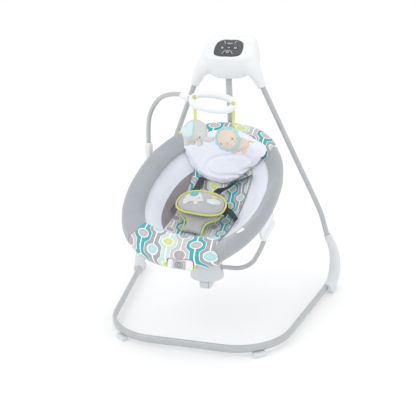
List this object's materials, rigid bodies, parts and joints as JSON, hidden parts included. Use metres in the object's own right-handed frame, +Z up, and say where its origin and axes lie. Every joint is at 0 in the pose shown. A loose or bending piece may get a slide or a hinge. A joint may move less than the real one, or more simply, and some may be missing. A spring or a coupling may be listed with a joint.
{
  "type": "baby swing",
  "caption": "Battery baby swing: U-shaped floor frame, drive housing on angled legs, hanging arm with a turning, reclining padded seat, and a toy bar with plush toys.",
  "frame": {"origin": "centre of the bounding box at floor level", "axes": "+Z up; -Y is the front, which the baby faces; +X is to the right seen from the front; the stand is symmetric about the YZ plane, the toy bar is on the -X side"},
  "size_m": [0.8272, 0.7318, 0.943],
  "materials": {
    "frame_paint": "satin warm-grey metallic powder coat",
    "white_plastic": "white, soft sheen",
    "pale_grey_plastic": "pale grey, fine matt grain",
    "dark_plastic": "charcoal, satin",
    "steel": "bright, plain",
    "copper_winding": "enamelled copper wire",
    "grey_plush": "short soft pile, heather grey",
    "white_fabric": "white quilted knit with embossed dots",
    "print_fabric": "white woven cloth with a teal, grey and lime bead pattern",
    "pad_fabric": "light grey velour",
    "webbing": "charcoal ribbed webbing",
    "lime_plastic": "lime, satin",
    "cell_wrap": "printed cell wrapper, plain",
    "board": "green solder mask",
    "toy_plush": "short plush in grey, beige, aqua and lime"
  },
  "bodies": {
    "stand": {"base_tube": "frame_paint", "left_leg_tube": "frame_paint", "right_leg_tube": "frame_paint", "left_heel_connector": "pale_grey_plastic", "right_heel_connector": "pale_grey_plastic", "left_front_foot": "pale_grey_plastic", "right_front_foot": "pale_grey_plastic", "housing_front_shell": "white_plastic", "housing_rear_shell": "white_plastic", "control_panel": "dark_plastic", "circuit_board": "board", "drive_coil": "copper_winding", "front_bearing": "steel", "rear_bearing": "steel", "battery_set": "cell_wrap", "housing_screw_1": "steel", "housing_screw_2": "steel"},
    "swing": {"pivot_shaft": "steel", "swing_hub": "pale_grey_plastic", "drive_magnet": "steel", "swing_arm_tube": "frame_paint", "arm_socket": "pale_grey_plastic"},
    "hub": {"seat_hub": "pale_grey_plastic"},
    "seat": {"cradle_tube": "frame_paint", "toy_bar_clip": "white_plastic", "head_ring_tube": "frame_paint", "foot_ring_tube": "frame_paint", "left_side_bracket": "white_plastic", "right_side_bracket": "white_plastic", "rim_right": "grey_plush", "rim_left": "grey_plush", "rim_head": "print_fabric", "seat_liner": "white_fabric", "centre_pad": "print_fabric", "head_support": "white_fabric", "leg_rest": "print_fabric", "waist_pad": "pad_fabric", "crotch_pad": "pad_fabric", "vibration_unit": "white_plastic", "left_harness_web": "webbing", "right_harness_web": "webbing", "left_buckle": "dark_plastic", "right_buckle": "dark_plastic"},
    "toy_bar": {"toy_bar_tube": "frame_paint", "toy_ring": "white_plastic", "elephant_peg": "lime_plastic", "lion_peg": "lime_plastic"},
    "elephant": {"elephant_toy": "toy_plush"},
    "lion": {"lion_toy": "toy_plush"},
    "swing_speed_key": {"swing_speed_button": "pale_grey_plastic"},
    "timer_key": {"timer_button": "pale_grey_plastic"},
    "melody_key": {"melody_button": "pale_grey_plastic"},
    "volume_key": {"volume_button": "pale_grey_plastic"},
    "power_key": {"power_button": "pale_grey_plastic"},
    "battery_door_body": {"battery_door": "white_plastic"},
    "swivel_release_body": {"swivel_release": "pale_grey_plastic"},
    "recline_lever_body": {"recline_lever": "pale_grey_plastic"},
    "vibration_key": {"vibration_button": "pale_grey_plastic"},
    "left_buckle_key": {"left_buckle_button": "pale_grey_plastic"},
    "right_buckle_key": {"right_buckle_button": "pale_grey_plastic"}
  },
  "joints": [
    {"name": "arm_swing", "type": "hinge", "parent": "stand", "child": "swing", "pos_m": [0, 0.27368, 0.86], "axis": [0, 1, 0], "range_deg": [-12, 12]},
    {"name": "seat_swivel", "type": "hinge", "parent": "swing", "child": "hub", "pos_m": [0, -0.05332, 0.19], "axis": [0, 0, 1], "range_deg": [-90, 90]},
    {"name": "seat_recline", "type": "hinge", "parent": "hub", "child": "seat", "pos_m": [0, -0.05332, 0.204], "axis": [1, 0, 0], "range_deg": [0, 12]},
    {"name": "toy_bar_turn", "type": "hinge", "parent": "seat", "child": "toy_bar", "pos_m": [-0.259, 0.10968, 0.592], "axis": [0, 0, -1], "range_deg": [0, 100]},
    {"name": "elephant_hang", "type": "hinge", "parent": "toy_bar", "child": "elephant", "pos_m": [-0.0285, -0.04232, 0.7838], "axis": [1, 0, 0], "range_deg": [-25, 25]},
    {"name": "lion_hang", "type": "hinge", "parent": "toy_bar", "child": "lion", "pos_m": [0.1045, -0.04232, 0.7675], "axis": [1, 0, 0], "range_deg": [-25, 25]},
    {"name": "swing_speed_press", "type": "slide", "parent": "stand", "child": "swing_speed_key", "axis": [0, 0.5446, -0.8387], "range_m": [0, 0.0009], "stiffness_N_per_m": 400},
    {"name": "timer_press", "type": "slide", "parent": "stand", "child": "timer_key", "axis": [0, 0.5446, -0.8387], "range_m": [0, 0.0009], "stiffness_N_per_m": 400},
    {"name": "melody_press", "type": "slide", "parent": "stand", "child": "melody_key", "axis": [0, 0.5446, -0.8387], "range_m": [0, 0.0009], "stiffness_N_per_m": 400},
    {"name": "volume_press", "type": "slide", "parent": "stand", "child": "volume_key", "axis": [0, 0.5446, -0.8387], "range_m": [0, 0.0009], "stiffness_N_per_m": 400},
    {"name": "power_press", "type": "slide", "parent": "stand", "child": "power_key", "axis": [0, 0.5446, -0.8387], "range_m": [0, 0.0009], "stiffness_N_per_m": 400},
    {"name": "battery_door_hinge", "type": "hinge", "parent": "stand", "child": "battery_door_body", "pos_m": [0, 0.36768, 0.876], "axis": [-1, 0, 0], "range_deg": [0, 100]},
    {"name": "swivel_release_press", "type": "slide", "parent": "swing", "child": "swivel_release_body", "axis": [0, 1, 0], "range_m": [0, 0.0012], "stiffness_N_per_m": 1200},
    {"name": "recline_lever_press", "type": "slide", "parent": "hub", "child": "recline_lever_body", "axis": [0, -1, 0], "range_m": [0, 0.0012], "stiffness_N_per_m": 1200},
    {"name": "vibration_press", "type": "slide", "parent": "seat", "child": "vibration_key", "axis": [0.0434, 0.989, -0.1414], "range_m": [0, 0.001], "stiffness_N_per_m": 400},
    {"name": "left_buckle_press", "type": "slide", "parent": "seat", "child": "left_buckle_key", "axis": [0.1219, 0.8929, 0.4336], "range_m": [0, 0.002], "stiffness_N_per_m": 600},
    {"name": "right_buckle_press", "type": "slide", "parent": "seat", "child": "right_buckle_key", "axis": [0.1219, 0.8929, 0.4336], "range_m": [0, 0.002], "stiffness_N_per_m": 600}
  ]
}
